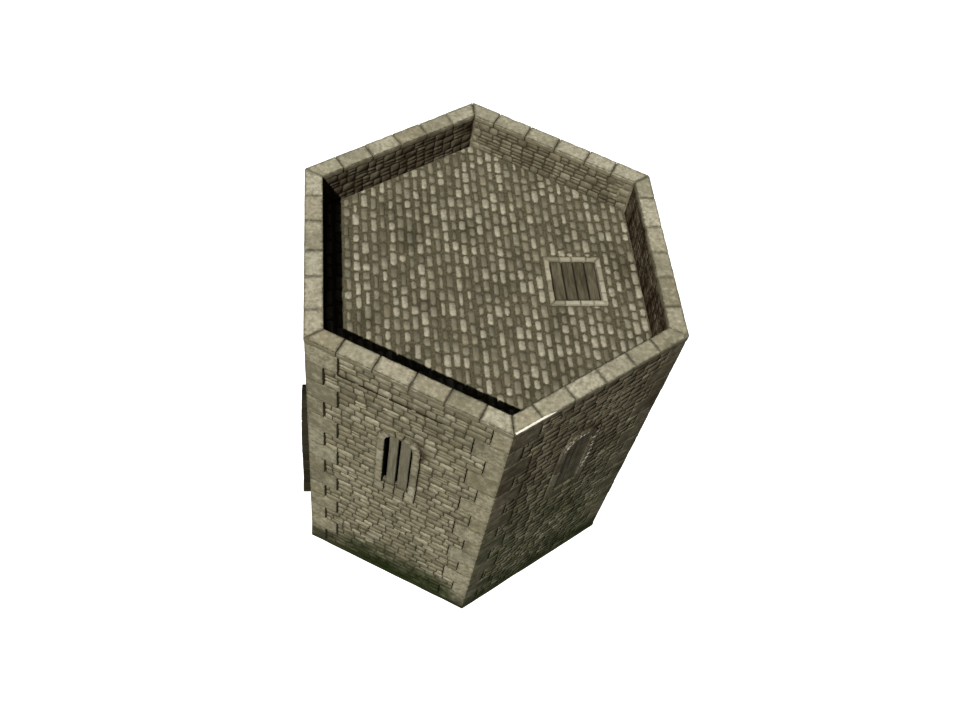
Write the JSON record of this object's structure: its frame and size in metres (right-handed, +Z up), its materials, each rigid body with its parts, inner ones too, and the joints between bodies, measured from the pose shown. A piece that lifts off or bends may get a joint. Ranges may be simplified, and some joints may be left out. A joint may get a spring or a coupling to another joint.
{
  "type": "miniature tower for tabletop terrain",
  "caption": "Hexagonal stone tower for tabletop games, with barred windows, an arched door, a coped parapet and a lift-out roof floor with a trapdoor.",
  "frame": {"origin": "middle of the underside of the base plate", "axes": "+Z up the tower, -Y towards the front corner between the two barred walls, -X out through the door"},
  "size_m": [0.1256, 0.1412, 0.145],
  "materials": {
    "wall_stone": "cast resin painted as small coursed stone, dry-brushed grey-brown",
    "quoin_stone": "cast resin painted as pale dressed stone",
    "coping_stone": "cast resin painted as pale beige stone",
    "paving": "cast resin painted as small brick paving, dry-brushed",
    "base": "dark green-brown painted resin",
    "oak": "weathered grey-brown boards",
    "iron": "dark worn iron"
  },
  "bodies": {
    "tower": {"base_plate": "base", "wall_right": "wall_stone", "wall_rear_right": "wall_stone", "wall_rear_left": "wall_stone", "wall_left": "wall_stone", "wall_front_left": "wall_stone", "wall_front_right": "wall_stone", "coping_right": "coping_stone", "coping_rear_right": "coping_stone", "coping_rear_left": "coping_stone", "coping_left": "coping_stone", "coping_front_left": "coping_stone", "coping_front_right": "coping_stone", "quoins_front_right": "quoin_stone", "quoins_rear_right": "quoin_stone", "quoins_rear": "quoin_stone", "quoins_rear_left": "quoin_stone", "quoins_front_left": "quoin_stone", "quoins_front": "quoin_stone", "ledge_right": "oak", "ledge_rear_right": "oak", "ledge_rear_left": "oak", "ledge_left": "oak", "ledge_front_left": "oak", "ledge_front_right": "oak", "window_surround_right": "quoin_stone", "window_surround_rear_right": "quoin_stone", "window_surround_rear_left": "quoin_stone", "window_surround_front_left": "quoin_stone", "window_surround_front_right": "quoin_stone", "window_bars_right": "oak", "window_bars_rear_right": "oak", "window_bars_rear_left": "oak", "window_bars_front_left": "oak", "window_bars_front_right": "oak", "door_jamb_front": "quoin_stone", "door_jamb_rear": "quoin_stone", "door_arch": "quoin_stone", "door_step": "base", "door_pintle_lower": "iron", "door_pintle_upper": "iron"},
    "roof": {"roof_deck": "paving", "trapdoor_border": "coping_stone", "trapdoor_hinge_pin": "iron"},
    "trapdoor": {"trapdoor_plank_1": "oak", "trapdoor_plank_2": "oak", "trapdoor_plank_3": "oak", "trapdoor_plank_4": "oak", "trapdoor_batten_front": "oak", "trapdoor_batten_rear": "oak"},
    "door": {"door_plank_1": "oak", "door_plank_2": "oak", "door_plank_3": "oak", "door_plank_4": "oak", "door_strap_lower": "iron", "door_strap_upper": "iron", "door_ring": "iron"}
  },
  "joints": [
    {"name": "roof_lift", "type": "slide", "parent": "tower", "child": "roof", "axis": [0, 0, 1], "range_m": [0, 0.04]},
    {"name": "trapdoor_hinge", "type": "hinge", "parent": "roof", "child": "trapdoor", "pos_m": [0.0381, -0.0016, 0.1296], "axis": [0, 1, 0], "range_deg": [0, 95]},
    {"name": "door_hinge", "type": "hinge", "parent": "tower", "child": "door", "pos_m": [-0.05352, 0.0112, 0.025], "axis": [0, 0, 1], "range_deg": [0, 100]}
  ]
}
